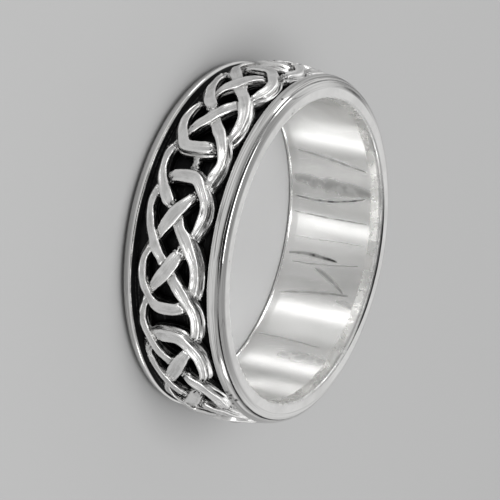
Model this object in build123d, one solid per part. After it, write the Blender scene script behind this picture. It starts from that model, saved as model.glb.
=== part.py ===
"""Celtic spinner ring, in millimetres.

An inner band with two raised rims and a sunk channel between them carries an
openwork knot band that spins in the channel.  The ring lies on its lower rim:
the origin is the middle of that rim's flat face and +Z is the ring's axis.
"""
from build123d import *
import math
import os

# Inner band
bore_diameter = 19.0        # the finger hole
band_width = 7.0            # rim face to rim face
rim_wall = 1.40             # bore to the rim's edge at the channel
rim_crown = 0.10            # the rim's rounded top above that edge
channel_width = 5.40        # between the two rims, at their edges
channel_depth = 0.55        # rim edge down to the channel's floor
flank_lean = 0.33           # each channel wall leans out over its floor by this
end_face_width = 0.42       # the flat ring that the band rests on
face_bevel_drop = 0.24      # outer bevel of the rim's face, along the axis
bore_flare_length = 0.50    # the bore opens out near each rim
bore_flare_rise = 0.05
bore_edge_round = 0.18      # rounded mouth of the bore

# Knot band
running_clearance = 0.10    # knot band's bore outside the channel's floor
side_clearance = 0.13       # knot band's foot to the channel's floor corner
knot_rise = 1.04            # the highest strand above the channel's floor
dome_drop = 0.30            # the outer strands lie this much lower
under_dip = 0.34            # a strand sinks this much where it passes under
strand_base_width = 0.70
strand_shoulder_width = 0.62
strand_crown_width = 0.30
shoulder_drop = 0.11        # slope from the crown's edge to the shoulder
repeats = 7                 # interlaced loops round the ring
section_pitch = 0.78        # spacing of the sections along a strand
buried_end = 0.10           # strand ends stop this far short of a crossing's middle

bore_radius = bore_diameter / 2
rim_radius = bore_radius + rim_wall
floor_radius = rim_radius - channel_depth
floor_half_width = channel_width / 2 - flank_lean
knot_bore_radius = floor_radius + running_clearance
crown_radius = floor_radius + knot_rise
reach = floor_half_width - side_clearance - strand_base_width / 2
pitch_angle = 2 * math.pi / repeats
# Each strand is drawn down past the knot band's bore, with a keel under it so that
# two crossing undersides never meet face to face; the bore then cuts both away.
foot_radius = floor_radius
keel_radius = foot_radius - 2 * strand_base_width

# Half of one loop's centreline.  along is a share of the loops' pitch round the
# ring from the loop's own middle, across a share of the reach from the band's
# middle; level is 0 on top and -1 where the strand passes under another.
HALF_LOOP = [
    # along, across, level
    (0.000, -1.00, 0),
    (0.082, -0.96, 0),
    (0.154, -0.77, 0),
    (0.241, -0.43, 0),
    (0.3325, 0.00, -1),
    (0.412, 0.28, 0),
    (0.492, 0.62, 0),
    (0.587, 0.88, 0),
    (0.684, 1.00, 0),
    (0.778, 0.96, 0),
    (0.846, 0.77, -1),
    (0.896, 0.41, 0),
    (0.908, 0.00, 0),
    (0.900, -0.42, 0),
    (0.839, -0.73, 0),
    (0.739, -0.96, 0),
    (0.630, -0.94, 0),
    (0.508, -0.62, -1),
    (0.439, -0.38, 0),
    (0.3325, 0.00, 0),
    (0.245, 0.35, 0),
    (0.161, 0.73, -1),
    (0.082, 0.92, 0),
]


def inner_band():
    """The plain band: bore, two end faces, two rounded rims and the channel."""
    half = band_width / 2
    face_inner = bore_radius + bore_flare_rise + bore_edge_round
    mouth = half - bore_edge_round
    face_outer = face_inner + end_face_width
    rim_peak = rim_radius + rim_crown
    bevel_low = half - face_bevel_drop
    rim_middle = (channel_width / 2 + bevel_low) / 2
    round_corner = math.sqrt(0.5) * bore_edge_round

    def at(radius, height):
        return (radius, 0, height)

    bore_edge_middle = at(face_inner - round_corner, mouth + round_corner)
    upper = [
        Line(at(bore_radius, 0), at(bore_radius, mouth - bore_flare_length)),
        Line(at(bore_radius, mouth - bore_flare_length), at(bore_radius + bore_flare_rise, mouth)),
        ThreePointArc(at(bore_radius + bore_flare_rise, mouth), bore_edge_middle, at(face_inner, half)),
        Line(at(face_inner, half), at(face_outer, half)),
        Line(at(face_outer, half), at(rim_radius, bevel_low)),
        ThreePointArc(
            at(rim_radius, bevel_low), at(rim_peak, rim_middle), at(rim_radius, channel_width / 2)
        ),
        Line(at(rim_radius, channel_width / 2), at(floor_radius, floor_half_width)),
        Line(at(floor_radius, floor_half_width), at(floor_radius, 0)),
    ]
    lower = [edge.mirror(Plane.XY) for edge in upper]
    section = Face(Wire(upper + lower))
    return Pos(0, 0, half) * revolve(section, Axis.Z)


def loop_centreline():
    """One loop drawn flat: x round the ring at the crown, y across, z the level."""
    pitch = pitch_angle * crown_radius
    half = [(along * pitch, across * reach, level * under_dip) for along, across, level in HALF_LOOP]
    other_half = [(-x, -y, z) for x, y, z in half]
    return Spline(*half, *other_half, periodic=True)


def strand_section(flat_point, flat_direction):
    """Corners of the strand's section at a point of the centreline, wrapped round the ring."""
    angle = flat_point.X / crown_radius
    dome = dome_drop * (flat_point.Y / reach) ** 2
    top = crown_radius - dome + flat_point.Z
    outward = Vector(math.cos(angle), math.sin(angle), 0)
    round_ring = Vector(-math.sin(angle), math.cos(angle), 0)
    forward = (round_ring * flat_direction.X + Vector(0, 0, 1) * flat_direction.Y).normalized()
    side = outward.cross(forward)
    middle = Vector(0, 0, band_width / 2 + flat_point.Y)
    corners = [
        (strand_crown_width / 2, top),
        (strand_shoulder_width / 2, top - shoulder_drop),
        (strand_base_width / 2, foot_radius),
        (0, keel_radius),
        (-strand_base_width / 2, foot_radius),
        (-strand_shoulder_width / 2, top - shoulder_drop),
        (-strand_crown_width / 2, top),
    ]
    return [middle + outward * radius + side * offset for offset, radius in corners]


def faceted_strand(sections):
    """A closed solid through the sections, its sides split into triangles."""
    corner_count = len(sections[0])
    faces = []
    for near, far in zip(sections, sections[1:]):
        for i in range(corner_count):
            j = (i + 1) % corner_count
            faces.append(triangle(near[i], near[j], far[j]))
            faces.append(triangle(near[i], far[j], far[i]))
    faces.append(Face(Wire.make_polygon(sections[0])))
    faces.append(Face(Wire.make_polygon(sections[-1])))
    return Solid(Shell(faces))


def triangle(a, b, c):
    return Face(Wire.make_polygon([a, b, c]))


def loop_strands():
    """The stretches of one loop, each from one crossing that it passes under to the next."""
    line = loop_centreline()
    pitch = pitch_angle * crown_radius
    unders = []
    for sign in (1, -1):
        for along, across, level in HALF_LOOP:
            if level < 0:
                crossing = Vector(sign * along * pitch, sign * across * reach, -under_dip)
                unders.append(line.param_at_point(crossing))
    unders.sort()
    strands = []
    for start, end in zip(unders, unders[1:] + [unders[0] + 1]):
        first = start + buried_end / line.length
        last = end - buried_end / line.length
        count = max(2, round((last - first) * line.length / section_pitch))
        sections = []
        for i in range(count + 1):
            place = (first + (last - first) * i / count) % 1.0
            sections.append(strand_section(line @ place, line % place))
        strands.append(faceted_strand(sections))
    return strands


def knot_band():
    """All loops joined into one openwork band, with a true round bore."""
    strands = []
    for k in range(repeats):
        turn = Rot(0, 0, math.degrees(pitch_angle) * k)
        strands += [turn * strand for strand in loop_strands()]
    knot = strands[0].fuse(*strands[1:])
    bore = Pos(0, 0, band_width / 2) * Cylinder(knot_bore_radius, 2 * band_width)
    return knot - bore


if __name__ == "__main__":
    os.makedirs("parts", exist_ok=True)
    for name, shape in (("inner_band", inner_band()), ("knot_band", knot_band())):
        export_step(shape, f"parts/{name}.step")
        print(name, "volume", round(shape.volume, 2))
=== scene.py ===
"""Looks of a celtic spinner ring: a polished inner band and the openwork knot band that spins on it.

The ring lies on its lower rim, with its axis upright.  Sizes are in millimetres up to
add_mesh(), which turns them into metres; shaders and lights are in metres.
"""
import itertools
import math
from types import SimpleNamespace
import bpy
import numpy as np
from mathutils import Matrix, Quaternion, Vector, noise


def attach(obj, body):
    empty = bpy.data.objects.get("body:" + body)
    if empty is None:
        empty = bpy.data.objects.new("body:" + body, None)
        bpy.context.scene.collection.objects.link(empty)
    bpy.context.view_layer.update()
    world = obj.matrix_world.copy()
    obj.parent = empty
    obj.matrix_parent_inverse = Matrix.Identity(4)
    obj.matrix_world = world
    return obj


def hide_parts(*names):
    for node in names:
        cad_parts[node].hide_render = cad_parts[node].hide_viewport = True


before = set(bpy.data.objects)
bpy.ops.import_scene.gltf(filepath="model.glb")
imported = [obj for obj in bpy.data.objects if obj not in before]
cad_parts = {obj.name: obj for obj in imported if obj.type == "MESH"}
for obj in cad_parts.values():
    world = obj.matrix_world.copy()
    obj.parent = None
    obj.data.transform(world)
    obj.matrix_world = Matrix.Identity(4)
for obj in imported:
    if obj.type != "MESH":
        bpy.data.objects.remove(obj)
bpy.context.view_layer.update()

MM = 0.001

# Inner band
BORE_RADIUS = 9.5
BAND_HALF_WIDTH = 3.5
RIM_RADIUS = 10.9           # at the rim's edge over the channel
CHANNEL_HALF_WIDTH = 2.7
CHANNEL_DEPTH = 0.55
CHANNEL_WALL_LEAN = 0.33    # each channel wall leans out over its floor by this
FLOOR_RADIUS = RIM_RADIUS - CHANNEL_DEPTH
FLOOR_HALF_WIDTH = CHANNEL_HALF_WIDTH - CHANNEL_WALL_LEAN
FACE_INNER_RADIUS = 9.73
FACE_OUTER_RADIUS = 10.15
FLARE_LENGTH = 0.66
FLARE_RISE = 0.10
MOUTH_ROUND = 0.18
CREASE_RADIUS = 10.66       # thin filed line between the rim's crown and its bevel
CREASE_HEIGHT = 3.335
BEVEL_BOW = (10.44, 3.465)  # what the bevel and the crown bow towards: radius, height
CROWN_BOW = (10.899, 3.134)
TURNS = 400                 # mesh divisions round the band
SECTION_STEPS = (0.26, 0.05)    # widest and closest mesh divisions round its section
SECTION_SAMPLES = 4000      # places where those divisions are worked out
ARC_POINTS = 60
CURVE_POINTS = 80

# Inner band's wear, in millimetres and in degrees round the ring
CREASE_DEPTH = 0.034
CREASE_WIDTH = 0.048
SECOND_CREASE_OFFSET = 0.10
SECOND_CREASE_DEPTH = 0.016
SECOND_CREASE_WIDTH = 0.030
MOUTH_DIRT_WIDTH = 0.085
WORST_DIRT = (118, 32)      # place and spread
LIP_LINE = (92, 34)
RIM_STAIN = (178, 20)

# Knot band
RUNNING_CLEARANCE = 0.10
KNOT_RISE = 1.04            # the highest strand above the channel's floor
KNOT_BORE_RADIUS = FLOOR_RADIUS + RUNNING_CLEARANCE
KNOT_TOP_RADIUS = FLOOR_RADIUS + KNOT_RISE
TOP_MARGIN = 0.022          # the crowns stay this far under the top radius
DOME_DROP = 0.30            # the band's edges lie this much lower than its middle
REPEATS = 7
PITCH_ANGLE = 2 * math.pi / REPEATS
PITCH = PITCH_ANGLE * KNOT_TOP_RADIUS
REACH = 1.89                # band's middle to the outer strands' middle
STRAND_HALF_WIDTH = 0.34
EDGE_ROUND = 0.080          # radius of a strand's worn top edges
BEAD_RISE = 0.062           # worn bead along each edge of the crown, above the crown's middle
HOLE_LEAN = 0.03            # wall's foot outside its top, where it faces a hole
RIM_LEAN = 0.27             # the same where it faces a rim
GAP_LEAN = 0.20             # and where it faces the wide gap between two loops
UNDER_DIP = 0.34            # a strand drops this far where it goes under another
WEAVE_DIP = 0.10            # and sinks this much towards the crossing
COARSE_STEP = 0.165         # mesh divisions along a strand
FINE_STEP = 0.073           # the same near a crossing it passes under
LINE_ROWS = 3000            # rows that a loop's centreline is worked out at
CROSSING_ROWS = LINE_ROWS // 24    # rows to each side of a crossing where it covers another strand
CROSSING_REACH = 1.3        # millimetres along a strand where a crossing can cover it
FURROW = (0.17, 0.06)       # above a wall's second ridge: shares of the wall down, and half width
WEB_PLACE = (-2, 0.16)      # the casting's web: pitches round the band, millimetres across
CRUMB_SIZES = (0.030, 0.075)
CRUMB_SEED = 41
FAR_AWAY = 99.0             # stands for no crossing nearby

# The hand's unevenness. A wobble is the size of its bumps, a seed, and its amount if not 1.
# Sizes are millimetres, or shares of the radius where a wobble runs round the inner band.
CREASE_WANDER = (0.35, 1, 0.030)
CREASE_TREMBLE = (0.06, 2, 0.004)
CREASE_DEPTH_CHANGE = (0.25, 3, 0.020)
SECOND_CREASE_CHANGE = (0.4, 4)
BORE_WAVES = (2.6, 5, 0.010)
BORE_RIPPLES = (1.1, 6, 0.004)
RIM_WAVES = (1.4, 7, 0.006)
CREASE_SHADOW_CHANGE = (0.3, 8, 0.6)
MOUTH_DIRT_CHANGE = (0.3, 9, 0.20)
LIP_LINE_CHANGE = (0.25, 10, 0.3)
WIDTH_CHANGE = (1.3, 11, 0.09)
EDGE_WANDER = (0.9, 21, 0.070)
WALL_FLUTES = (1.1, 22, 0.035)
WALL_STREAKS = (0.8, 23)
EDGE_TREMBLE = (0.3, 24, 0.014)
END_CRUMBS = (0.12, 25)
CROWN_WAVES = (1.2, 26, 0.048)
FOLD_CHANGE = (1.3, 27)
CROWN_TILT = (1.1, 28, 0.075)
MELT_CHANGE = (1.2, 29)
END_LUMPS = (0.15, 30)
STRAY_ALONG = (1.7, 31, 0.07)
STRAY_ACROSS = (1.7, 32, 0.07)
WALL_RIBS = (0.8, 33)
BEAD_CHANGE = (0.7, 34, 0.7)
WEB_CRUMBS = (0.14, 35)

# Half of one loop's centreline: shares of the pitch along and of the reach across, the
# strand's width as a share, and the length in millimetres of the ramp up from a crossing
# that it passes under.
HALF_LOOP = [
    # along, across, width, ramp
    (0.000, -1.00, 0.98, None),
    (0.082, -0.96, 1.00, None),
    (0.154, -0.77, 1.08, None),
    (0.241, -0.43, 1.14, None),
    (0.3325, 0.00, 0.96, 0.22),
    (0.412, 0.28, 1.02, None),
    (0.492, 0.62, 1.20, None),
    (0.587, 0.88, 1.10, None),
    (0.684, 1.00, 1.00, None),
    (0.778, 0.96, 0.96, None),
    (0.846, 0.77, 0.90, 0.35),
    (0.896, 0.41, 1.10, None),
    (0.908, 0.00, 1.22, None),
    (0.900, -0.42, 1.22, None),
    (0.839, -0.73, 1.12, None),
    (0.739, -0.96, 1.02, None),
    (0.630, -0.94, 0.90, None),
    (0.508, -0.62, 0.70, 0.30),
    (0.439, -0.38, 0.98, None),
    (0.3325, 0.00, 1.26, None),
    (0.245, 0.35, 1.02, None),
    (0.161, 0.73, 0.70, 0.26),
    (0.082, 0.92, 0.88, None),
]

# Camera, as it stands to the ring in the photograph
CAMERA_AZIMUTH = math.radians(20.2) - 2 * PITCH_ANGLE   # from +X towards +Y
CAMERA_ELEVATION = math.radians(28.35)
CAMERA_ROLL = math.radians(11.26)
CAMERA_DISTANCE = 184.2
FOCAL_PIXELS = 2956.5
RING_PIXEL = (261.0, 241.7)                             # where the ring's middle shows
FRAME_PIXELS = 500
SENSOR = 36.0

# Studio, in metres and degrees
FLOOR_SIZE = 4
# Painted light on the floor: its colour turns paler between these distances from the ring
FLOOR_PALES = (0.10, 0.90)      # from the ring, where the floor starts to turn pale and is palest
LIGHT_DISTANCE = 0.5
OPENING_ELEVATION = 66          # the tent's dark opening, over the camera
OPENING_EDGE = (28, 14)         # from its middle, where it starts and where it is full


# Small helpers

def smooth(low, high, value):
    """0 below low, 1 above high, smooth between."""
    share = np.clip((np.asarray(value, float) - low) / (high - low), 0, 1)
    return share * share * (3 - 2 * share)


def bell(value, width, power=2):
    """1 where the value is nought, falling smoothly towards 0 over about the width."""
    return np.exp(-(value / width) ** power)


def wobble(points, size, seed, amount=1.0):
    """Smooth noise from -amount to amount at each point, with bumps about size across."""
    shift = Vector((seed * 17.3, seed * -9.1, seed * 4.7))
    return amount * np.array([noise.noise(Vector(p) / size + shift) for p in points])


def wrapped(value, girth):
    """A distance round something closed, taken the short way: from -girth / 2 to girth / 2."""
    return (value + girth / 2) % girth - girth / 2


def stretch_of_ring(angle, place_and_spread, power=2):
    """1 at a place round the ring, falling to 0 over its spread, both in degrees."""
    place, spread = place_and_spread
    return bell(wrapped(np.degrees(angle) - place, 360), spread, power)


def stacked(*columns):
    """Rows of points from columns of coordinates; a plain number fills its whole column."""
    return np.stack(np.broadcast_arrays(*columns), -1)


def on_ring(radius, angle, height):
    """Points at a radius and an angle round the ring's axis."""
    return stacked(radius * np.cos(angle), radius * np.sin(angle), height)


def running_total(steps):
    """The running total of the steps, from nought."""
    return np.concatenate([[0], np.cumsum(steps)])


def steps_round(line):
    """From each point of a closed flat line to its next one."""
    return np.roll(line[:, :2], -1, 0) - line[:, :2]


def length_round(line):
    """How far along a closed flat line each of its points lies, and last its whole length."""
    return running_total(np.linalg.norm(steps_round(line), axis=1))


def closed_grid(rows, columns):
    """Faces of a grid of points that closes on itself both ways."""
    faces = []
    for i in range(rows):
        below = i * columns
        above = (i + 1) % rows * columns
        for j in range(columns):
            k = (j + 1) % columns
            faces.append((below + j, below + k, above + k, above + j))
    return faces


def pick_faces(points, faces, attributes, wanted):
    """The wanted faces alone, with only the points that they use."""
    used, faces = np.unique(faces[wanted], return_inverse=True)
    attributes = {key: values[used] for key, values in attributes.items()}
    return points[used], faces.reshape(-1, 4).tolist(), attributes


def join_pieces(pieces):
    """Several pieces as one; each is its points, faces and attributes."""
    faces = []
    placed = 0
    for points, piece_faces, _ in pieces:
        faces += [tuple(placed + point for point in face) for face in piece_faces]
        placed += len(points)
    attributes = {key: np.concatenate([piece[2][key] for piece in pieces]) for key in pieces[0][2]}
    return np.vstack([piece[0] for piece in pieces]), faces, attributes


def add_mesh(name, points, faces, attributes):
    """A smooth-shaded mesh object from points in millimetres and per-point values."""
    mesh = bpy.data.meshes.new(name)
    mesh.from_pydata((np.asarray(points) * MM).tolist(), [], faces)
    mesh.polygons.foreach_set("use_smooth", [True] * len(mesh.polygons))
    for key, values in attributes.items():
        kind, field = ("FLOAT_VECTOR", "vector") if np.ndim(values) == 2 else ("FLOAT", "value")
        made = mesh.attributes.new(key, kind, "POINT")
        made.data.foreach_set(field, np.ravel(values).astype(np.float32))
    mesh.validate()
    piece = bpy.data.objects.new(name, mesh)
    bpy.context.scene.collection.objects.link(piece)
    return piece


# Inner band

def arc(centre, radius, start, end):
    """Points on an arc in the band's section, angles in degrees from outward to up."""
    angles = np.radians(np.linspace(start, end, ARC_POINTS))
    return [(centre[0] + radius * math.cos(a), centre[1] + radius * math.sin(a)) for a in angles]


def curve(start, control, end):
    """Points of a bowed line from start to end."""
    a, b, c = (np.array(p, float) for p in (start, control, end))
    shares = np.linspace(0, 1, CURVE_POINTS)
    return [tuple((1 - t) ** 2 * a + 2 * t * (1 - t) * b + t * t * c) for t in shares]


def band_section():
    """Half of the band's section: (radius, height above its middle), bore to channel."""
    mouth = BAND_HALF_WIDTH - MOUTH_ROUND
    crease = (CREASE_RADIUS, CREASE_HEIGHT)
    channel_edge = (RIM_RADIUS + 0.085, CHANNEL_HALF_WIDTH + 0.03)
    edge_bow = (RIM_RADIUS + 0.08, CHANNEL_HALF_WIDTH - 0.01)
    channel_wall = (RIM_RADIUS - 0.03, CHANNEL_HALF_WIDTH - 0.03)
    outline = [(BORE_RADIUS, 0.0), (BORE_RADIUS, mouth - FLARE_LENGTH), (BORE_RADIUS + FLARE_RISE, mouth)]
    outline += arc((FACE_INNER_RADIUS, mouth), MOUTH_ROUND, 180, 90)
    outline += curve((FACE_OUTER_RADIUS, BAND_HALF_WIDTH), BEVEL_BOW, crease)
    outline += curve(crease, CROWN_BOW, channel_edge)
    outline += curve(channel_edge, edge_bow, channel_wall)
    outline += [(FLOOR_RADIUS, FLOOR_HALF_WIDTH), (FLOOR_RADIUS, 0.0)]
    outline = np.array(outline)

    # Points lie closest together at the crease, the flare and the rounded edges
    length = running_total(np.linalg.norm(np.diff(outline, axis=0), axis=1))
    run = np.linspace(0, length[-1], SECTION_SAMPLES)
    radius, height = (np.interp(run, length, outline[:, k]) for k in (0, 1))
    to_crease = np.hypot(radius - CREASE_RADIUS, height - CREASE_HEIGHT)
    to_flare = np.hypot(radius - BORE_RADIUS, height - mouth + FLARE_LENGTH)
    widest, closest = SECTION_STEPS
    step = widest - (widest - closest) * smooth(mouth - 0.1, mouth, height)
    step -= 0.14 * smooth(2.4, 2.6, height) * (radius > FACE_OUTER_RADIUS)
    step = np.clip(step, closest, widest) - 0.03 * (1 - smooth(0.12, 0.20, to_crease))
    step = np.minimum(step, closest + (widest - closest) * smooth(0.05, 0.3, to_flare))
    density = running_total((run[1] - run[0]) / step[1:])
    chosen = np.interp(np.linspace(0, density[-1], round(density[-1])), density, run)
    return stacked(*(np.interp(chosen, length, outline[:, k]) for k in (0, 1)))


def filed_crease(radius, around, outside):
    """The filed line round each rim: how deep it is at each point, and how dark, with a painted shadow
    beside it.

    It wanders, deepens and fades, with a second line beside it in places.
    """
    wander = wobble(around, *CREASE_WANDER) + wobble(around, *CREASE_TREMBLE)
    depth = CREASE_DEPTH + wobble(around, *CREASE_DEPTH_CHANGE)
    off_crease = radius - CREASE_RADIUS - wander
    first = bell(off_crease, CREASE_WIDTH)
    second = bell(off_crease + SECOND_CREASE_OFFSET - wander * 0.5, SECOND_CREASE_WIDTH)
    second_depth = SECOND_CREASE_DEPTH * smooth(0.05, 0.3, wobble(around, *SECOND_CREASE_CHANGE))
    # Painted shadow: a soft dark band along the crease, a little out from it
    shadow = 0.40 * bell(off_crease - 0.05, 0.09) * (0.7 + wobble(around, *CREASE_SHADOW_CHANGE))
    dark = np.maximum(shadow, first * np.clip(depth / 0.045, 0, 1))
    return outside * (depth * first + second_depth * second), outside * dark


def mouth_dirt(angle, radius, height, around):
    """Dirt in the turn of the bore's mouth, and a dark line along a stretch of its lip."""
    inward = radius - FACE_INNER_RADIUS
    down = abs(height) - BAND_HALF_WIDTH
    dirt = 0.16 + 0.18 * stretch_of_ring(angle, WORST_DIRT) + wobble(around, *MOUTH_DIRT_CHANGE)
    dirt = dirt * bell(np.hypot(inward + 0.156, down + 0.09), MOUTH_DIRT_WIDTH)
    lip = (1.10 + wobble(around, *LIP_LINE_CHANGE)) * stretch_of_ring(angle, LIP_LINE, 4)
    return np.maximum(dirt, lip * bell(np.hypot(inward + 0.045, down + 0.008), MOUTH_DIRT_WIDTH))


def split_band(section, points, attributes):
    """The band as two meshes, each with its own lights: rims with worn mouths, and the bore."""
    radius, height = section[:, 0], section[:, 1]
    columns = len(section)
    mouth = BAND_HALF_WIDTH - MOUTH_ROUND
    inside = radius < FACE_INNER_RADIUS - 0.02
    below_flare = (height < mouth - FLARE_LENGTH + 0.01) & (height > -mouth - 0.02)
    flares = abs(height) > mouth - FLARE_LENGTH - 0.03
    faces = np.array(closed_grid(TURNS, columns))
    in_bore = (inside & below_flare)[faces % columns].all(axis=1)
    in_mouth = (inside & flares)[faces % columns].all(axis=1)
    rims = add_mesh("inner_band_rims", *pick_faces(points, faces, attributes, ~in_bore))
    bore = add_mesh("inner_band_bore", *pick_faces(points, faces, attributes, in_bore))
    rims.data.polygons.foreach_set("material_index", in_mouth[~in_bore].astype(int))
    return rims, bore


def build_inner_band():
    """The plain band's rims and bore, turned and then finished by hand: no two stretches alike."""
    half = band_section()
    mirrored = (half * (1, -1))[::-1][1:-1]
    section = np.vstack([half, mirrored])
    angle = np.repeat(np.arange(TURNS) * 2 * math.pi / TURNS, len(section))
    radius = np.tile(section[:, 0], TURNS)
    height = np.tile(section[:, 1], TURNS)
    upper_or_lower = np.where(height > 0, 1.0, 2.0)
    around = on_ring(1.0, angle, upper_or_lower)
    outside = smooth(FACE_OUTER_RADIUS, FACE_OUTER_RADIUS + 0.1, radius)
    outside *= smooth(CHANNEL_HALF_WIDTH, CHANNEL_HALF_WIDTH + 0.1, abs(height))
    # The crease's dark line, and the painted shadow beside it
    groove, crease_black_and_shade = filed_crease(radius, around, outside)

    # Hand-worked bore: long shallow waves, a little deeper across than along
    bore = smooth(FACE_INNER_RADIUS, BORE_RADIUS + FLARE_RISE, radius)
    waves = wobble(on_ring(9, angle, height * 0.35), *BORE_WAVES)
    waves += wobble(on_ring(9, angle, height * 0.8), *BORE_RIPPLES)
    rim_waves = outside * wobble(on_ring(11, angle, height * 2), *RIM_WAVES)
    radius = radius + bore * waves + rim_waves
    height = height - np.sign(height) * groove

    stain = stretch_of_ring(angle, RIM_STAIN)
    stain *= smooth(FACE_OUTER_RADIUS, FACE_OUTER_RADIUS + 0.12, radius)
    channel = smooth(0.02, 0.10, RIM_RADIUS - radius)
    channel *= smooth(-0.02, 0.03, CHANNEL_HALF_WIDTH - abs(height))
    channel *= smooth(FLOOR_RADIUS - 0.4, FLOOR_RADIUS - 0.1, radius)
    dirt = mouth_dirt(angle, radius, height, around)
    # Black: oxide on the channel's floor, the crease's dark line with its painted shadow, dirt in the
    # mouths, and the stain
    black = np.max([channel, crease_black_and_shade, dirt, 0.42 * stain], axis=0)

    # The grain runs round the ring, and across it along the section from the bore's middle
    span = np.linalg.norm(np.diff(section, axis=0, prepend=section[:1]), axis=1)
    from_bore = np.cumsum(span)
    from_bore[len(half):] -= from_bore[-1] + span[1]
    grain = on_ring(RIM_RADIUS, angle, np.tile(from_bore, TURNS))
    buffed = outside * (0.5 + 0.5 * smooth(CREASE_RADIUS - 0.03, CREASE_RADIUS + 0.05, radius))
    attributes = {"black": black, "grain": grain, "buffed": buffed, "stain": stain}
    return split_band(section, on_ring(radius, angle, BAND_HALF_WIDTH + height), attributes)


# Knot band

def periodic_spline(knots, count):
    """A smooth closed curve through the knots, as count rows of all their columns.

    Also gives the row at which the curve passes each knot.
    """
    places = length_round(knots)
    span = np.diff(places)
    n = len(knots)
    system = np.zeros((n, n))
    right = np.zeros_like(knots)
    slope = (np.roll(knots, -1, 0) - knots) / span[:, None]
    for i in range(n):
        system[i, i - 1] = span[i - 1]
        system[i, i] = 2 * (span[i - 1] + span[i])
        system[i, (i + 1) % n] = span[i]
        right[i] = 6 * (slope[i] - slope[i - 1])
    bend = np.linalg.solve(system, right)
    t = np.linspace(0, places[-1], count, endpoint=False)
    i = np.searchsorted(places, t, side="right") - 1
    j = (i + 1) % n
    h = span[i][:, None]
    a = (places[i + 1] - t)[:, None]
    b = (t - places[i])[:, None]
    bowed = (bend[i] * a ** 3 + bend[j] * b ** 3) / (6 * h)
    straight = (knots[i] / h - bend[i] * h / 6) * a + (knots[j] / h - bend[j] * h / 6) * b
    return bowed + straight, np.round(places[:-1] / places[-1] * count).astype(int) % count


def pattern_rows():
    """The loop's table turned into millimetres, both halves: x, y, width, and ramp or None."""
    half = [(along * PITCH, across * REACH, width) for along, across, width, _ in HALF_LOOP]
    rows = np.array(half + [(-x, -y, width) for x, y, width in half])
    return rows, [row[3] for row in HALF_LOOP] * 2


def stray(points):
    """How far the hand-made band strays from the even pattern, at flat places (x, y)."""
    places = on_ring(KNOT_TOP_RADIUS, points[:, 0] / KNOT_TOP_RADIUS, points[:, 1])
    across = wobble(places, *STRAY_ACROSS) * (1 - smooth(0.8, 1.15, abs(points[:, 1]) / REACH))
    return stacked(wobble(places, *STRAY_ALONG), across)


def loop_line(unit):
    """One loop's centreline as close rows of x, y, width, and the row at each of its knots."""
    rows, _ = pattern_rows()
    # Far enough apart in the noise that each knot of each loop gets a width of its own
    seeds = [(unit * 3.1, i * 2.7, 0.5) for i in range(len(rows))]
    rows[:, 2] *= 1 + wobble(seeds, *WIDTH_CHANGE)
    rows[:, 0] += unit * PITCH
    rows[:, :2] += stray(rows[:, :2])
    return periodic_spline(rows, LINE_ROWS)


def find_crossings(loops):
    """For each loop, where it passes under: (row, ramp, stretch of the strand that passes over)."""
    _, ramps = pattern_rows()
    girth = REPEATS * PITCH
    overs = [i for i, ramp in enumerate(ramps) if ramp is None]
    unders = [i for i, ramp in enumerate(ramps) if ramp is not None]
    crossings = []
    for line, at_knot in loops:
        found = []
        for i in unders:
            place = line[at_knot[i]]
            nearest = math.inf
            for over_line, over_knot in loops:
                for j in overs:
                    passing = over_line[over_knot[j]]
                    turns = round((place[0] - passing[0]) / girth)
                    gap = math.hypot(passing[0] + turns * girth - place[0], passing[1] - place[1])
                    if gap < nearest:
                        nearest = gap
                        rows = np.arange(over_knot[j] - CROSSING_ROWS, over_knot[j] + CROSSING_ROWS)
                        stretch = over_line[rows % LINE_ROWS] + (turns * girth, 0, 0)
            found.append((at_knot[i], ramps[i], stretch))
        crossings.append(found)
    return crossings


def spread_sections(line, crossings):
    """Places along a loop for the mesh's rows, closer together near each crossing below."""
    step = steps_round(line)
    place = length_round(line)
    total = place[-1]
    nearby = np.zeros(len(line))
    offset = np.full(len(line), FAR_AWAY)
    for row, _, _ in crossings:
        away = abs(wrapped(place[:-1] - place[row], total))
        nearby = np.maximum(nearby, 1 - smooth(0.5, 1.1, away))
        offset = np.minimum(offset, away)
    density = 1 / COARSE_STEP + (1 / FINE_STEP - 1 / COARSE_STEP) * nearby
    running = running_total(density * np.linalg.norm(step, axis=1))
    count = round(running[-1])
    chosen = np.interp(np.arange(count) * running[-1] / count, running, place)
    columns = [line[:, 0], line[:, 1], line[:, 2], step[:, 0], step[:, 1], offset]
    x, y, width, dx, dy, away = [np.interp(chosen, place[:-1], column, period=total) for column in columns]
    side = stacked(dy, -dx) / np.hypot(dx, dy)[:, None]
    return stacked(x, y), side, width, away, chosen


def strand_section():
    """The section's points: share of the crown's half width, share of the round, share of the wall."""
    crown = [(t, 0.0, 0.0) for t in (-1.0, -0.82, -0.64, -0.40, 0.0, 0.40, 0.64, 0.82, 1.0)]
    corner = [(1.0, t, 0.0) for t in (0.33, 0.67, 1.0)]
    wall = [(1.0, 1.0, t) for t in (0.06, 0.13, 0.21, 0.31, 0.43, 0.58, 1.0)]
    right = corner + wall
    left = [(-a, b, c) for a, b, c in reversed(right)]
    return np.array(left + crown + right)


def cover(flat, along, line, crossings):
    """How far each flat place lies outside the strand that passes over it, with that crossing's ramp."""
    clear = np.full(len(flat), FAR_AWAY)
    ramps = np.full(len(flat), 0.3)
    place = length_round(line)
    for row, ramp, stretch in crossings:
        away = abs(wrapped(along - place[row], place[-1]))
        near = np.flatnonzero(away < CROSSING_REACH)
        gaps = np.hypot(*(flat[near, k, None] - stretch[None, :, k] for k in (0, 1)))
        nearest = gaps.argmin(1)
        clear[near] = gaps[np.arange(len(near)), nearest] - stretch[nearest, 2] * STRAND_HALF_WIDTH
        ramps[near] = ramp
    return clear, ramps


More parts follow.
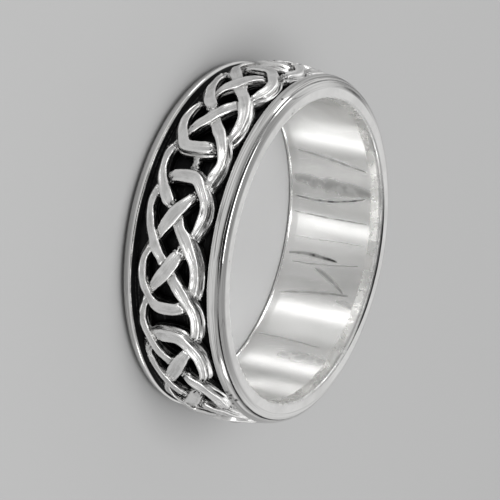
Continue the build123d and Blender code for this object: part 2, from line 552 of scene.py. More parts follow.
def lay_out_strand(unit, line, under):
    """One loop's mesh rows, each a section across the strand, before any carving.

    At a crossing that it passes under, a strand has either run together with the other
    in the casting (melted), or ends in a narrow crumbly tip.
    """
    place, side, width, away, along = spread_sections(line, under)
    section = strand_section()
    rows, columns = len(place), len(section)
    clear, _ = cover(place, along, line, under)
    melted = smooth(-0.12, 0.12, wobble(stacked(along, 0, unit * 19.0), *MELT_CHANGE))
    close = 1 - smooth(-0.05, 0.50, clear)
    width = width * (1 - 0.38 * close * (1 - melted) + 0.22 * close * melted)
    near_end = 1 - smooth(0.10, 0.65, clear)
    strand = SimpleNamespace(unit=unit, line=line, under=under, faces=closed_grid(rows, columns))
    per_row = {"middle": place, "sideways": side, "run": along, "width": width, "away": away}
    per_row.update(melted=melted, near_end=near_end)
    for key, values in per_row.items():
        setattr(strand, key, np.repeat(values, columns, axis=0))
    strand.share, strand.corner, strand.wall = (np.tile(section[:, k], rows) for k in range(3))
    strand.sign = np.sign(strand.share)
    strand.round = strand.corner * math.pi / 2

    # Which way each side of the strand faces: a rim, or the wide gap between loops
    x, y = strand.middle[:, 0] - unit * PITCH, strand.middle[:, 1]
    strand.to_rim = smooth(0.25, 0.8, np.sign(y) * strand.sideways[:, 1] * strand.sign)
    strand.to_rim *= smooth(0.45, 0.80, abs(y) / REACH)
    strand.to_gap = smooth(0.2, 0.8, np.sign(x) * strand.sideways[:, 0] * strand.sign)
    strand.to_gap *= smooth(0.78, 0.86, abs(x) / PITCH)

    # Where the hand's wobbles are taken: the last number sets the loops apart
    strand.key = stacked(strand.run, strand.share * 0.8 + strand.wall * 0.5, unit * 31.0)
    strand.edge_key = stacked(strand.run, strand.sign * 3, unit * 31.0)
    return strand


def carve_sides(strand):
    """Where each point lies across the strand: its edges, flutes and folds wander a little."""
    sign, wall = strand.sign, strand.wall
    wander = wobble(strand.edge_key, *EDGE_WANDER) + wobble(strand.edge_key, *EDGE_TREMBLE)
    crown = strand.width * STRAND_HALF_WIDTH - EDGE_ROUND - 0.10 * strand.to_rim - 0.06 * strand.to_gap
    across = strand.share * (crown + wander * sign * strand.share)
    across += sign * EDGE_ROUND * np.sin(strand.round)
    lean = HOLE_LEAN + (RIM_LEAN - HOLE_LEAN) * strand.to_rim
    lean += (GAP_LEAN - HOLE_LEAN) * strand.to_gap * (1 - strand.to_rim)
    across += sign * lean * (1 - (1 - wall) ** 2.6)

    above_foot = 1 - smooth(0.7, 1, wall)
    end_key = stacked(strand.middle[:, 0] + across, strand.middle[:, 1] + wall * 0.8, strand.unit * 7.0)
    strand.lumps = wobble(end_key, *END_LUMPS) * strand.near_end * (1 - 0.8 * strand.melted)
    across += sign * 0.16 * strand.lumps * smooth(0, 0.1, strand.corner) * above_foot
    across += sign * wobble(strand.key * (1, 9, 1), *WALL_FLUTES) * smooth(0, 0.15, wall) * above_foot

    # A second ridge runs along the walls that face outward, with a furrow above it
    furrow, furrow_width = FURROW
    strand.fold = smooth(-0.35, 0.15, wobble(strand.key * (1, 0, 1), *FOLD_CHANGE))
    strand.fold *= np.maximum(np.maximum(strand.to_rim, strand.to_gap), 0.3)
    ridge = 0.075 * bell(wall - 0.36, 0.10) - 0.060 * bell(wall - furrow, furrow_width)
    strand.across = across + sign * strand.fold * ridge
    strand.flat = strand.middle + strand.sideways * strand.across[:, None]


def raise_crowns(strand):
    """How high each point stands: its crown's top, less its depth below that."""
    flat, run, unit = strand.flat, strand.run, strand.unit
    strand.clear, ramp = cover(flat, run, strand.line, strand.under)
    strand.rough_end = (1 - smooth(0.10, 0.60, strand.clear)) * (strand.clear < 2)
    strand.crumbs = wobble(stacked(flat[:, 0], flat[:, 1], unit * 7.0), *END_CRUMBS)
    dip = 1 - smooth(-0.03, 0.75 * ramp - 0.03, strand.clear + 0.05 * strand.crumbs)
    strand.dip = dip * (1 - 0.68 * strand.melted)
    sink = WEAVE_DIP * (1 - smooth(0.3, 1.4, strand.away))
    top = KNOT_TOP_RADIUS - DOME_DROP * (flat[:, 1] / REACH) ** 2 - UNDER_DIP * strand.dip - sink
    top += wobble(stacked(run, strand.share * 0.5, unit * 13.0), *CROWN_WAVES)
    top += strand.share * wobble(stacked(run, 0, unit * 5.0), *CROWN_TILT)
    top = np.minimum(top, KNOT_TOP_RADIUS - TOP_MARGIN)
    top += 0.11 * (strand.crumbs - 0.2) * strand.rough_end * (1 - 0.8 * strand.melted)
    bead = BEAD_RISE * np.clip(0.85 + wobble(strand.edge_key, *BEAD_CHANGE), 0, 1)
    bead *= bell(abs(strand.share) - 0.86, 0.20)
    depth = BEAD_RISE - bead * (1 - strand.wall) + EDGE_ROUND * (1 - np.cos(strand.round))
    depth += strand.wall * (top - KNOT_BORE_RADIUS - BEAD_RISE - EDGE_ROUND)
    strand.top, strand.depth = top, depth
    strand.points = on_ring(top - depth, flat[:, 0] / KNOT_TOP_RADIUS, BAND_HALF_WIDTH + flat[:, 1])


def blackened(strand):
    """How black each point is: deep in the holes and crossings, thin on walls that face outward."""
    wall = strand.wall
    streaks = wobble(strand.key * (0.5, 7, 1), *WALL_STREAKS)
    ribs = wobble(strand.key * (4.5, 0.5, 1), *WALL_RIBS)
    open_wall = np.maximum(np.maximum(strand.to_rim, 0.9 * strand.to_gap), 0.42)
    start = 0.06 + 0.34 * open_wall
    end = 0.24 + 0.52 * open_wall
    uneven = 0.14 * streaks * (0.35 + open_wall) + 0.12 * ribs * open_wall
    level = strand.depth + uneven * smooth(0, 0.1, wall)
    shade = np.clip((level - start) / (end - start), 0, 1)
    shade = np.maximum(shade, 0.26 * open_wall * smooth(0.05, 0.2, wall) * (0.6 + 1.2 * streaks))
    shade *= 1 - 0.65 * strand.fold * bell(wall - 0.34, 0.07)
    furrow, furrow_width = FURROW
    shade = np.maximum(shade, 0.85 * strand.fold * bell(wall - furrow, furrow_width))
    rubbed = strand.near_end * smooth(0.0, 0.3, strand.lumps) * (1 - smooth(0.3, 0.6, wall))
    shade *= 1 - 0.75 * rubbed
    pit = 0.80 * smooth(0.30, 0.9, strand.dip + 0.6 * strand.crumbs) * (1 - strand.melted)
    dirt = strand.rough_end * np.clip(0.10 - 2.2 * strand.crumbs, 0, 0.85) * (1 - 0.75 * strand.melted)
    return np.clip(np.max([shade, pit, dirt], axis=0), 0, 1)


def worn_edges(strand):
    """1 on the edges of the crown that wear keeps bright."""
    corner = strand.corner
    on_round = 1 - smooth(0.2, 0.6, abs(corner - 0.45))
    edges = np.where(corner > 0.01, on_round, smooth(0.66, 0.86, abs(strand.share)))
    return edges * (strand.wall < 0.1) * (1 - np.clip(strand.dip, 0, 1))


def strand_grain(strand):
    """Places in the metal's grain: round a circle as long as the loop, and across the strand."""
    total = strand.run[-1] + COARSE_STEP
    angle = strand.run / total * 2 * math.pi
    grain = on_ring(total / (2 * math.pi), angle, strand.across + strand.sign * strand.depth)
    return grain + (strand.unit * 30, 0, 0)


def crumb_places(strand):
    """Points on the crumbly ends that carry a crumb of casting, and how high each may stand."""
    on_end = (strand.near_end > 0.35) & (strand.clear > -0.06) & (strand.clear < 2)
    on_edge = (strand.wall < 0.45) & (abs(strand.share) > 0.6)
    places = np.flatnonzero(on_end & on_edge & (strand.melted < 0.35))
    places = np.random.default_rng(strand.unit).permutation(places)[:len(places) // 4]
    return strand.points[places], np.minimum(strand.top[places] + 0.03, KNOT_TOP_RADIUS - TOP_MARGIN)


def rough_piece(points, faces, black):
    """A piece left as it was cast, with its attributes."""
    count = len(points)
    return points, faces, {"black": black, "worn": np.zeros(count), "rough": np.ones(count), "grain": points}


def cast_crumbs(centres, tops):
    """Tiny lumps of casting left on the metal at the centres, each a dented ball of twenty sides."""
    chance = np.random.default_rng(CRUMB_SEED)
    golden = (1 + 5 ** 0.5) / 2
    corners = [(0, a, b * golden) for a in (-1, 1) for b in (-1, 1)]
    corners = np.array(corners + [(a, b, 0) for _, a, b in corners] + [(b, 0, a) for _, a, b in corners])
    corners = corners / np.linalg.norm(corners[0])
    count = len(corners)
    neighbours = np.linalg.norm(corners[:, None] - corners[None], axis=2) < 1.1
    sides = [
        (i, j, k) if np.linalg.det(corners[[i, j, k]]) > 0 else (i, k, j)
        for i, j, k in itertools.combinations(range(count), 3)
        if neighbours[i, j] and neighbours[j, k] and neighbours[i, k]
    ]
    size = chance.uniform(*CRUMB_SIZES, len(centres))
    reach = size[:, None] * chance.uniform(0.7, 1.2, (len(centres), count))
    points = centres[:, None] + corners[None] * reach[:, :, None]
    radius = np.linalg.norm(points[:, :, :2], axis=2, keepdims=True)
    points[:, :, :2] *= np.minimum(1, tops[:, None, None] / radius)
    faces = [tuple(count * n + corner for corner in side) for n in range(len(centres)) for side in sides]
    black = np.repeat(chance.uniform(0.0, 0.75, len(centres)), count)
    return rough_piece(points.reshape(-1, 3), faces, black)


def cast_web():
    """A thin crumbly web left by the casting between two loops."""
    rows, columns = 26, 14
    along = np.repeat(np.linspace(-0.66, 0.66, rows), columns)
    turn = np.tile(np.arange(columns) * 2 * math.pi / columns, rows)
    crumbs = wobble(stacked(along, np.cos(turn) * 0.3, np.sin(turn) * 0.3), *WEB_CRUMBS)
    spread = (along / 0.6) ** 2
    half_width = 0.25 + 0.20 * spread + 0.18 * crumbs
    half_height = 0.20 + 0.16 * crumbs
    x = WEB_PLACE[0] * PITCH + along
    y = WEB_PLACE[1] + 0.12 * along + half_width * np.cos(turn)
    radius = KNOT_BORE_RADIUS + 0.24 + 0.10 * spread + half_height * np.sin(turn)
    faces = closed_grid(rows, columns)[:(rows - 1) * columns]
    faces.append(tuple(range(columns)))
    faces.append(tuple(reversed(range((rows - 1) * columns, rows * columns))))
    black = np.clip(0.66 - 1.6 * crumbs - 0.2 * np.sin(turn), 0.25, 0.95)
    return rough_piece(on_ring(radius, x / KNOT_TOP_RADIUS, BAND_HALF_WIDTH + y), faces, black)


def build_knot_band():
    """Seven loops that pass over and under themselves and their neighbours, as one casting."""
    loops = [loop_line(unit) for unit in range(REPEATS)]
    pieces, crumb_centres, crumb_tops = [], [], []
    for unit, ((line, _), under) in enumerate(zip(loops, find_crossings(loops))):
        strand = lay_out_strand(unit, line, under)
        carve_sides(strand)
        raise_crowns(strand)
        rough = np.maximum(strand.rough_end, strand.near_end * smooth(0, 0.1, strand.wall))
        attributes = {"black": blackened(strand), "worn": worn_edges(strand), "rough": rough}
        attributes["grain"] = strand_grain(strand)
        pieces.append((strand.points, strand.faces, attributes))
        centres, tops = crumb_places(strand)
        crumb_centres.append(centres)
        crumb_tops.append(tops)
    pieces.append(cast_web())
    pieces.append(cast_crumbs(np.vstack(crumb_centres), np.concatenate(crumb_tops)))
    return add_mesh("knot_band_metal", *join_pieces(pieces))


# Shader nodes

def feed(tree, socket, value):
    """Gives a node's input a value of its own, or links another node's output to it."""
    if isinstance(value, bpy.types.NodeSocket):
        tree.links.new(value, socket)
    else:
        socket.default_value = value


def new_node(tree, kind, *values, **settings):
    """A shader node with its settings made and its first inputs fed."""
    node = tree.nodes.new("ShaderNode" + kind)
    for key, value in settings.items():
        setattr(node, key, value)
    for socket, value in zip(node.inputs, values):
        feed(tree, socket, value)
    return node


def maths(tree, operation, *values):
    """What a Math node makes of numbers and other nodes' outputs."""
    return new_node(tree, "Math", *values, operation=operation).outputs[0]


def combined(tree, operation, first, *others):
    """Several values taken together one after another, as in a product or the largest of them."""
    for other in others:
        first = maths(tree, operation, first, other)
    return first


def vector_maths(tree, operation, *values):
    """The number that a Vector Math node makes of vectors."""
    return new_node(tree, "VectorMath", *values, operation=operation).outputs["Value"]


def noise_node(tree, vector, scale, detail, roughness=0.5):
    """Cloudy noise, from 0 to 1 and mostly near 0.5."""
    node = new_node(tree, "TexNoise", vector)
    for name, value in (("Scale", scale), ("Detail", detail), ("Roughness", roughness)):
        feed(tree, node.inputs[name], value)
    return node.outputs["Fac"]


def range_node(tree, value, low, high, to_low=0.0, to_high=1.0):
    """A smooth step of value from low to high, put out from to_low to to_high."""
    numbers = (value, low, high, to_low, to_high)
    return new_node(tree, "MapRange", *numbers, interpolation_type="SMOOTHSTEP").outputs["Result"]


def object_place(tree):
    """Where a point lies on its object, in metres."""
    return new_node(tree, "TexCoord").outputs["Object"]


def point_value(tree, name):
    """A per-point value of the mesh."""
    return new_node(tree, "Attribute", attribute_name=name).outputs["Fac"]


def colour_mix(tree, factor, first, second):
    """A colour between two, each a colour or another node's output."""
    node = new_node(tree, "Mix", factor, data_type="RGBA")
    feed(tree, node.inputs["A"], first)
    feed(tree, node.inputs["B"], second)
    return node.outputs["Result"]


def bump_chain(tree, heights):
    """Bump nodes one after another, from pairs of height output and depth in millimetres."""
    normal = None
    for height, depth in heights:
        node = new_node(tree, "Bump")
        inputs = {"Strength": 1.0, "Distance": depth * MM, "Height": height}
        if normal is not None:
            inputs["Normal"] = normal
        for name, value in inputs.items():
            feed(tree, node.inputs[name], value)
        normal = node.outputs["Normal"]
    return normal


def new_group(name, output, **inputs):
    """An empty shader node group and its inputs: numbers, or None for a vector."""
    group = bpy.data.node_groups.new(name, "ShaderNodeTree")
    for socket, value in inputs.items():
        kind = "NodeSocketVector" if value is None else "NodeSocketFloat"
        made = group.interface.new_socket(socket, in_out="INPUT", socket_type=kind)
        if value is not None:
            made.default_value = value
    group.interface.new_socket(output, in_out="OUTPUT", socket_type="NodeSocketFloat")
    return group, group.nodes.new("NodeGroupInput").outputs


def put_out(group, value):
    """Lets the group put out the value, and returns the finished group."""
    group.links.new(value, group.nodes.new("NodeGroupOutput").inputs[0])
    return group


def place_group(tree, group, **values):
    """A group placed in a material with its own values; returns what it puts out."""
    node = new_node(tree, "Group", node_tree=group)
    for name, value in values.items():
        feed(tree, node.inputs[name], value)
    return node.outputs[0]


# Effects that the finishes share

def stretched_grain(group, given):
    """The metal's own grain in millimetres, scaled along and across by the group's inputs."""
    grain = new_node(group, "Attribute", attribute_name="grain").outputs["Vector"]
    stretch = new_node(group, "CombineXYZ", given["Along"], given["Along"], given["Across"])
    scaled = new_node(group, "VectorMath", grain, stretch.outputs["Vector"], operation="MULTIPLY")
    return scaled.outputs["Vector"]


def streaks_group():
    """Marks that run along the metal's own grain: 0 to 1."""
    group, given = new_group("lengthwise_streaks", "Streaks", Along=0.5, Across=8.0)
    marks = noise_node(group, stretched_grain(group, given), 1.0, 3)
    return put_out(group, range_node(group, marks, 0.32, 0.68))


def hairline_and_reflection_group():
    """A few long thin dark lines, scratches gone dark and painted dark reflections: 1 on a line."""
    group, given = new_group("dark_hairlines_and_reflections", "Lines", Along=0.5, Across=0.1, Width=0.01)
    level = noise_node(group, stretched_grain(group, given), 1.0, 2, 0.35)
    away = maths(group, "ABSOLUTE", maths(group, "SUBTRACT", level, 0.5))
    line = range_node(group, maths(group, "DIVIDE", away, given["Width"]), 0.4, 1.0, 1.0, 0.0)
    kept = range_node(group, noise_node(group, object_place(group), 230, 1), 0.50, 0.62)
    return put_out(group, maths(group, "MULTIPLY", line, kept))


def scratch_group():
    """One scratch or smudge inside the bore, from height From to height To: 1 in its middle.

    Outward points to where it starts and Tangent runs round the bore there; Lean and Bow
    carry it sideways, and Width is half its width.  All are in metres.
    """
    group, given = new_group(
        "bore_scratch", "Mark", Outward=None, Tangent=None,
        From=0.0, To=0.0, Lean=0.0, Bow=0.0, Width=0.0, Depth=0.0,
    )
    place = object_place(group)
    outward, tangent = (
        vector_maths(group, "DOT_PRODUCT", place, given[key]) for key in ("Outward", "Tangent")
    )
    height = new_node(group, "SeparateXYZ", place).outputs["Z"]
    share = new_node(group, "MapRange", height, given["From"], given["To"]).outputs["Result"]
    arch = combined(group, "MULTIPLY", share, maths(group, "SUBTRACT", 1.0, share), 4.0)
    middle = maths(group, "MULTIPLY", share, given["Lean"])
    middle = maths(group, "MULTIPLY_ADD", arch, given["Bow"], middle)
    shaky = maths(group, "SUBTRACT", noise_node(group, place, 900, 3), 0.5)
    middle = maths(group, "MULTIPLY_ADD", shaky, 0.16 * MM, middle)
    away = maths(group, "ABSOLUTE", maths(group, "SUBTRACT", tangent, middle))
    half_width = maths(group, "MULTIPLY", given["Width"], maths(group, "POWER", arch, 0.5))
    mark = range_node(group, maths(group, "DIVIDE", away, half_width), 0.0, 1.6, 1.0, 0.0)
    short_of_ends = range_node(group, arch, 0.02, 0.3)
    uneven = range_node(group, noise_node(group, place, 1500, 2), 0.35, 0.60, 0.45, 1.0)
    this_side = maths(group, "GREATER_THAN", outward, 0.0)
    mark = combined(group, "MULTIPLY", mark, short_of_ends, uneven, this_side, given["Depth"])
    return put_out(group, mark)


def pit_group():
    """One ragged pit or crust in the metal round a place, in metres: 1 in its middle."""
    group, given = new_group("metal_pit", "Mark", Centre=None, Size=0.0001, Depth=1.0)
    place = object_place(group)
    away = maths(group, "DIVIDE", vector_maths(group, "DISTANCE", place, given["Centre"]), given["Size"])
    ragged = maths(group, "SUBTRACT", noise_node(group, place, 7000, 3), 0.5)
    away = maths(group, "MULTIPLY_ADD", ragged, 2.2, away)
    mark = range_node(group, away, 0.5, 1.1, 1.0, 0.0)
    return put_out(group, maths(group, "MULTIPLY", mark, given["Depth"]))


def blackening_group():
    """Black left in the recesses, and the painted shadow along the rims' creases, with a ragged, streaky
    edge where it was polished away.
    """
    group, given = new_group("recess_black_and_painted_shade", "Mask", Streaks=0.5, Ragged=0.4, Streaky=0.4)
    level = point_value(group, "black")
    ragged = maths(group, "SUBTRACT", noise_node(group, object_place(group), 7000, 4, 0.6), 0.5)
    ragged = maths(group, "MULTIPLY", ragged, given["Ragged"])
    streaky = maths(group, "SUBTRACT", given["Streaks"], 0.5)
    streaky = maths(group, "MULTIPLY", streaky, given["Streaky"])
    present = range_node(group, level, 0.02, 0.30)
    uneven = maths(group, "MULTIPLY", maths(group, "ADD", ragged, streaky), present)
    return put_out(group, range_node(group, maths(group, "ADD", level, uneven), 0.10, 0.85))


def film_group():
    """A thin tarnish film and handling marks: patches from 0, clean, to 1."""
    group, given = new_group("tarnish_film", "Film", Scale=900.0, Low=0.4, High=0.7)
    cloud = noise_node(group, object_place(group), given["Scale"], 5, 0.6)
    return put_out(group, range_node(group, cloud, given["Low"], given["High"]))


# Pits and crusts on the upper rim: degrees round it, radius, height, size (millimetres), how dark
PITS = [
    (224.8, 10.88, 6.64, 0.0975, 0.90),
    (223.4, 9.80, 7.00, 0.0650, 0.80),
    (221.9, 9.90, 7.00, 0.0455, 0.70),
    (335.3, 10.96, 6.40, 0.1430, 0.80),
    (337.2, 10.94, 6.52, 0.1690, 0.85),
    (338.8, 10.96, 6.36, 0.1170, 0.80),
    (340.4, 10.90, 6.58, 0.1560, 0.85),
    (342.2, 10.97, 6.30, 0.1300, 0.80),
    (52.0, 10.90, 6.60, 0.0910, 0.80),
    (118.0, 10.94, 6.50, 0.1170, 0.75),
    (286.0, 9.95, 7.00, 0.0455, 0.60),
]

# Scratches and smudges in the bore: degrees round it, from and to in height, lean and bow
# sideways, half width (millimetres), and how dark
SCRATCHES = [
    (118.8, 0.3, 5.9, 0.61, -0.34, 0.085, 0.95),
    (112.2, 0.3, 6.1, -0.03, -0.05, 0.060, 0.75),
    (95.5, 0.4, 4.3, -0.06, 0.14, 0.125, 1.00),
    (92.3, 0.6, 6.2, 0.58, -0.12, 0.050, 0.40),
    (91.5, 2.6, 5.3, -1.45, 0.16, 0.150, 0.40),
    (79.9, 4.8, 6.2, -0.30, 0.06, 0.200, 0.50),
    (78.7, 0.5, 5.8, 0.70, 0.12, 0.095, 0.50),
    (139.6, 0.8, 6.1, -0.96, 0.05, 0.110, 0.55),
    (102.2, 0.4, 6.1, 0.20, 0.00, 0.045, 0.30),
    (59.5, 0.1, 5.4, -0.17, 0.05, 0.070, 0.40),
    (126.3, 0.2, 6.4, -0.34, 0.03, 0.520, 0.40),
    (51.0, 2.6, 6.4, 0.00, 0.10, 0.450, 0.44),
    (10.0, 0.6, 6.0, 0.30, 0.20, 0.045, 0.50),
    (338.0, 1.4, 6.2, -0.50, 0.10, 0.050, 0.60),
    (322.0, 0.2, 5.0, 0.20, -0.20, 0.400, 0.22),
    (290.0, 0.8, 5.6, 0.40, -0.10, 0.040, 0.55),
    (251.0, 1.0, 6.2, -0.20, 0.25, 0.050, 0.60),
    (226.0, 0.4, 5.2, 0.70, 0.10, 0.035, 0.40),
    (198.0, 0.6, 6.3, -0.10, 0.10, 0.420, 0.22),
    (176.0, 0.6, 5.8, 0.40, 0.20, 0.045, 0.50),
]


def scratch_marks(tree, scratch):
    """A mask of all the bore's scratches together."""
    marks = []
    for degrees, low, high, lean, bow, width, depth in SCRATCHES:
        a = math.radians(degrees)
        marks.append(place_group(
            tree, scratch, Outward=(math.cos(a), math.sin(a), 0), Tangent=(-math.sin(a), math.cos(a), 0),
            From=low * MM, To=high * MM, Lean=lean * MM, Bow=bow * MM, Width=width * MM, Depth=depth,
        ))
    return combined(tree, "MAXIMUM", *marks)


def pit_marks(tree, pit):
    """A mask of all the upper rim's pits together, each moved on to the nearest metal."""
    marks = []
    section = band_section() + (0, BAND_HALF_WIDTH)
    for degrees, radius, height, size, depth in PITS:
        a = math.radians(degrees)
        radius, height = section[np.hypot(*(section - (radius, height)).T).argmin()]
        centre = Vector((radius * math.cos(a), radius * math.sin(a), height)) * MM
        marks.append(place_group(tree, pit, Centre=centre, Size=size * MM, Depth=depth))
    return combined(tree, "MAXIMUM", *marks)


# Finishes

CLEAN_SILVER = (0.93, 0.925, 0.915, 1)
BLACK_SILVER = (0.014, 0.014, 0.0145, 1)
DULL_KNOT = (0.64, 0.637, 0.63, 1)
DULL_RIM = (0.50, 0.497, 0.49, 1)
# The darker colour of the bore's painted reflection bands
BORE_PAINTED_BAND = (0.62, 0.62, 0.61, 1)
DULL_MOUTH = (0.72, 0.72, 0.71, 1)


def new_material(name):
    """A material with a Principled shader; returns it, its node tree and the shader."""
    material = bpy.data.materials.new(name)
    material.use_nodes = True
    tree = material.node_tree
    tree.nodes.clear()
    shader = new_node(tree, "BsdfPrincipled")
    new_node(tree, "OutputMaterial", shader.outputs["BSDF"])
    return material, tree, shader


def finish_silver(tree, shader, mask, film, dulled, smoothness, heights):
    """Joins masks to the shader: black and film over clean silver, rougher where they lie; in the bore the
    film is painted reflection bands.
    """
    low, high = smoothness
    colour = colour_mix(tree, film, CLEAN_SILVER, dulled)
    rough = range_node(tree, film, 0.0, 1.0, low, high)
    inputs = {
        "Base Color": colour_mix(tree, mask, colour, BLACK_SILVER),
        "Metallic": 1.0,
        "Roughness": range_node(tree, mask, 0.0, 1.0, rough, 0.5),
        "Normal": bump_chain(tree, heights),
    }
    for name, value in inputs.items():
        feed(tree, shader.inputs[name], value)


def satin_knot_material(streaks, blackening, film):
    """Cast silver, polished on its crowns and black in its holes."""
    material, tree, shader = new_material("satin_knot")
    marks = place_group(tree, streaks, Along=0.7, Across=7.0)
    black = place_group(tree, blackening, Streaks=marks, Ragged=0.5, Streaky=0.8)
    cloud = range_node(tree, place_group(tree, film, Scale=1000.0, Low=0.30, High=0.70), 0.0, 1.0)
    unworn = maths(tree, "SUBTRACT", 1.0, point_value(tree, "worn"))
    dull = combined(tree, "MULTIPLY", cloud, range_node(tree, marks, 0.0, 1.0, 0.5, 1.0), unworn)
    dull = maths(tree, "MAXIMUM", dull, point_value(tree, "rough"))
    fine = noise_node(tree, object_place(tree), 16000, 3)
    finish_silver(tree, shader, black, dull, DULL_KNOT, (0.22, 0.15), [(fine, 0.004), (marks, 0.010)])
    return material


def polished_rim_material(streaks, blackening, hairlines_and_reflections, film, pit):
    """Silver buffed round and round, with fine dark lines and a painted shadow at its creases, and thin dark
    lines round it that are scratches and painted reflections.
    """
    material, tree, shader = new_material("polished_rims")
    marks = place_group(tree, streaks, Along=0.16, Across=9.0)
    black = place_group(tree, blackening, Streaks=marks, Ragged=0.35, Streaky=0.5)
    lines = place_group(tree, hairlines_and_reflections, Along=0.10, Across=1.6, Width=0.012)
    cloud = place_group(tree, film, Scale=420.0, Low=0.30, High=0.75)
    buffed = point_value(tree, "buffed")
    buffing = maths(tree, "MULTIPLY", range_node(tree, marks, 0.0, 1.0, 0.3, 1.0), buffed)
    # Painted reflections: the hairlines are darkened this much to stand for dark reflections streaking round
    # the rims too
    lines = combined(tree, "MULTIPLY", lines, 0.65, buffed)
    dark = combined(tree, "MAXIMUM", lines, black, pit_marks(tree, pit))
    film_left = maths(tree, "MULTIPLY", cloud, 0.35)
    dull = combined(tree, "MAXIMUM", film_left, buffing, point_value(tree, "stain"))
    finish_silver(tree, shader, dark, dull, DULL_RIM, (0.05, 0.09), [(buffing, 0.0015)])
    return material


def turned_bore_material(streaks, scratch):
    """Silver turned inside and burnished by the finger: bright bands lie along the axis, with painted
    reflection bands of paler and duller colour along it.
    """
    material, tree, shader = new_material("turned_bore")
    # Painted reflection: paler and duller bands of colour that run along the bore's axis
    painted_reflection_bands = place_group(tree, streaks, Along=0.28, Across=0.07)
    marks = place_group(tree, streaks, Along=0.10, Across=10.0)
    dark = scratch_marks(tree, scratch)
    finish_silver(tree, shader, dark, painted_reflection_bands, BORE_PAINTED_BAND, (0.25, 0.27), [(marks, 0.0008)])
    shader.inputs["Anisotropic"].default_value = 1.0
    shader.inputs["Anisotropic Rotation"].default_value = 0.25
    return material


def worn_mouth_material(streaks, blackening, film):
    """The flared mouth of the bore, rubbed soft and a little spotty."""
    material, tree, shader = new_material("worn_mouth")
    cloud = place_group(tree, film, Scale=1100.0, Low=0.34, High=0.66)
    marks = place_group(tree, streaks, Along=0.5, Across=2.0)
    black = place_group(tree, blackening, Ragged=0.35, Streaky=0.2)
    finish_silver(tree, shader, black, cloud, DULL_MOUTH, (0.20, 0.32), [(marks, 0.006), (cloud, 0.006)])
    return material


def grey(level):
    """An even grey."""
    return (level, level, level, 1)


def floor_material():
    """The matt floor, a little cloudy, with painted light that makes it paler far from the ring."""
    material, tree, shader = new_material("pale_floor")
    place = object_place(tree)
    near = colour_mix(tree, noise_node(tree, place, 30, 3), grey(0.307), grey(0.319))
    # Painted light: the floor's colour turns paler far from the ring
    away = range_node(tree, vector_maths(tree, "LENGTH", place), *FLOOR_PALES)
    feed(tree, shader.inputs["Base Color"], colour_mix(tree, away, near, grey(0.80)))
    shader.inputs["Roughness"].default_value = 0.7
    return material


# Studio

def camera_axes():
    """Directions right, up and back of the camera."""
    t, a, roll = CAMERA_ELEVATION, CAMERA_AZIMUTH, CAMERA_ROLL
    back = Vector((math.cos(t) * math.cos(a), math.cos(t) * math.sin(a), math.sin(t)))
    steep = Vector((-math.sin(t) * math.cos(a), -math.sin(t) * math.sin(a), math.cos(t)))
    level = steep.cross(back)
    right = math.cos(roll) * steep - math.sin(roll) * level
    up = -math.sin(roll) * steep - math.cos(roll) * level
    return right, up, back


def add_camera():
    """The photograph's camera, far off with a long lens, rolled as there."""
    right, up, back = camera_axes()
    data = bpy.data.cameras.new("camera")
    data.sensor_width = SENSOR
    data.lens = FOCAL_PIXELS / FRAME_PIXELS * SENSOR
    data.shift_x = (FRAME_PIXELS / 2 - RING_PIXEL[0]) / FRAME_PIXELS
    data.shift_y = (RING_PIXEL[1] - FRAME_PIXELS / 2) / FRAME_PIXELS
    data.clip_start = 0.01
    camera = bpy.data.objects.new("camera", data)
    bpy.context.scene.collection.objects.link(camera)
    middle = Vector((0, 0, BAND_HALF_WIDTH * MM))
    turn = Matrix((right, up, back)).transposed().to_4x4()
    camera.matrix_world = Matrix.Translation(middle + back * CAMERA_DISTANCE * MM) @ turn
    bpy.context.scene.camera = camera


def upward(azimuth, elevation):
    """The direction at an azimuth from the camera's side, in degrees, and an elevation."""
    a = CAMERA_AZIMUTH + math.radians(azimuth)
    e = math.radians(elevation)
    return Vector((math.cos(e) * math.cos(a), math.cos(e) * math.sin(a), math.sin(e)))


def add_softbox(receivers, name, azimuth, elevation, sideways, width, height, tilt, brightness):
    """A soft light that faces the ring. Azimuth is from the camera's side, towards its right.

    It lights only what is in the receivers' collection.
    """
    towards = upward(azimuth, elevation)
    data = bpy.data.lights.new(name, "AREA")
    data.shape = "RECTANGLE"
    data.size, data.size_y = width, height
    data.energy = brightness * math.pi * width * height
    light = bpy.data.objects.new(name, data)
    light.location = towards * LIGHT_DISTANCE + upward(90, 0) * sideways
    light.rotation_mode = "QUATERNION"
    light.rotation_quaternion = towards.to_track_quat("Z", "Y") @ Quaternion((0, 0, 1), math.radians(tilt))
    light.light_linking.receiver_collection = receivers
    bpy.context.scene.collection.objects.link(light)


# The softboxes are flagged, so that each lights one thing. A row is a softbox: its name, azimuth
# from the camera's side, elevation, metres sideways, width, height, degrees of tilt, brightness
TABLE_PANELS = [
    ("table_panel", 0, 72, 0.0, 0.50, 0.40, 0, 5.85),
]

RIM_PANELS = [
    ("rim_top_panel", 180, 84, -0.12, 0.36, 0.11, 0, 4.0),
    ("rim_right_panel", 95, 25, 0.0, 0.13, 0.12, 40, 2.8),
    ("rim_left_panel", -101, 27, 0.0, 0.13, 0.12, 40, 2.8),
]

KNOT_PANELS = [
    ("knot_top_panel", 180, 84, -0.12, 0.36, 0.11, 0, 2.5),
    ("front_panel", 4, 25, 0.0, 0.20, 0.16, 0, 2.4),
    ("right_panel", 52, 24, 0.0, 0.28, 0.17, 0, 2.1),
    ("far_right_panel", 104, 26, 0.0, 0.30, 0.16, 0, 0.75),
    ("left_panel", -46, 24, 0.0, 0.26, 0.17, 0, 2.5),
    ("far_left_panel", -98, 26, 0.0, 0.30, 0.16, 0, 0.9),
    ("back_right_panel", 150, 28, 0.0, 0.26, 0.16, 0, 0.45),
    ("back_left_panel", -150, 28, 0.0, 0.26, 0.16, 0, 0.45),
]

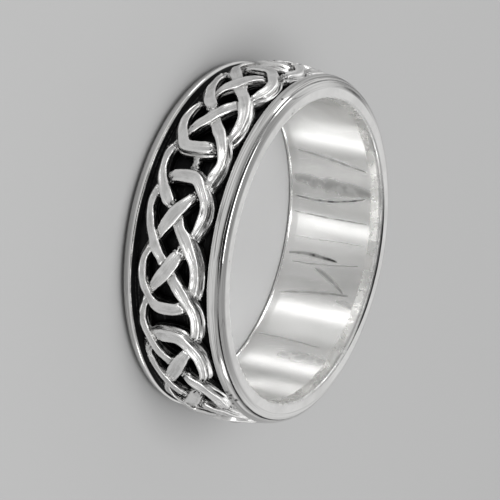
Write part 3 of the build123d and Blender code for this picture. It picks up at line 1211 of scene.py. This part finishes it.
BORE_STRIPS = [
    ("bore_top_panel", 180, 84, -0.12, 0.36, 0.11, 0, 12.0),
    ("right_strip", 95, 25, 0.0, 0.045, 0.08, 40, 190.0),
    ("right_glow", 107, 24, 0.0, 0.100, 0.08, 40, 40.0),
    ("front_strip", 22, 21, 0.0, 0.050, 0.08, 40, 54.0),
    ("front_glow", 12, 21, 0.0, 0.080, 0.08, 40, 12.0),
    ("left_strip", -47, 23, 0.0, 0.060, 0.08, 40, 56.0),
    ("left_glow", -61, 23, 0.0, 0.130, 0.08, 40, 15.0),
    ("far_left_strip", -101, 27, 0.0, 0.050, 0.08, 40, 130.0),
    ("back_strip", -136, 31, 0.0, 0.060, 0.08, 40, 110.0),
]


def add_world():
    """A pale tent, brighter near the table, with a dark opening over the camera."""
    world = bpy.data.worlds.new("tent")
    bpy.context.scene.world = world
    world.use_nodes = True
    tree = world.node_tree
    background = tree.nodes["Background"]
    direction = new_node(tree, "TexCoord").outputs["Generated"]
    towards = vector_maths(tree, "DOT_PRODUCT", direction, upward(0, OPENING_ELEVATION))
    starts, full = (math.cos(math.radians(degrees)) for degrees in OPENING_EDGE)
    opening = range_node(tree, towards, starts, full)
    height = new_node(tree, "SeparateXYZ", direction).outputs["Z"]
    tent = range_node(tree, height, 0.45, 0.80, 0.70, 0.36)
    light = maths(tree, "MULTIPLY", tent, range_node(tree, opening, 0.0, 1.0, 1.0, 0.08))
    feed(tree, background.inputs["Strength"], light)
    background.inputs["Color"].default_value = grey(1)


def add_studio(rims, bore, knot):
    """The tent, the floor, and each thing's own softboxes."""
    add_world()
    bpy.ops.mesh.primitive_plane_add(size=FLOOR_SIZE, location=(0, 0, 0))
    floor = bpy.context.object
    floor.name = "floor"
    floor.data.materials.append(floor_material())
    for thing, rows in ((floor, TABLE_PANELS), (rims, RIM_PANELS), (bore, BORE_STRIPS), (knot, KNOT_PANELS)):
        receivers = bpy.data.collections.new("lit_" + thing.name)
        receivers.objects.link(thing)
        for row in rows:
            add_softbox(receivers, *row)
    bpy.context.scene.view_settings.view_transform = "Standard"


streaks, hairlines_and_reflections, blackening, film = streaks_group(), hairline_and_reflection_group(), blackening_group(), film_group()

rims, bore = build_inner_band()
rims.data.materials.append(polished_rim_material(streaks, blackening, hairlines_and_reflections, film, pit_group()))
rims.data.materials.append(worn_mouth_material(streaks, blackening, film))
bore.data.materials.append(turned_bore_material(streaks, scratch_group()))
for half in (rims, bore):
    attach(half, "inner_band")
    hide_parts("inner_band")

knot = build_knot_band()
knot.data.materials.append(satin_knot_material(streaks, blackening, film))
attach(knot, "knot_band")
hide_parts("knot_band")

add_camera()
add_studio(rims, bore, knot)
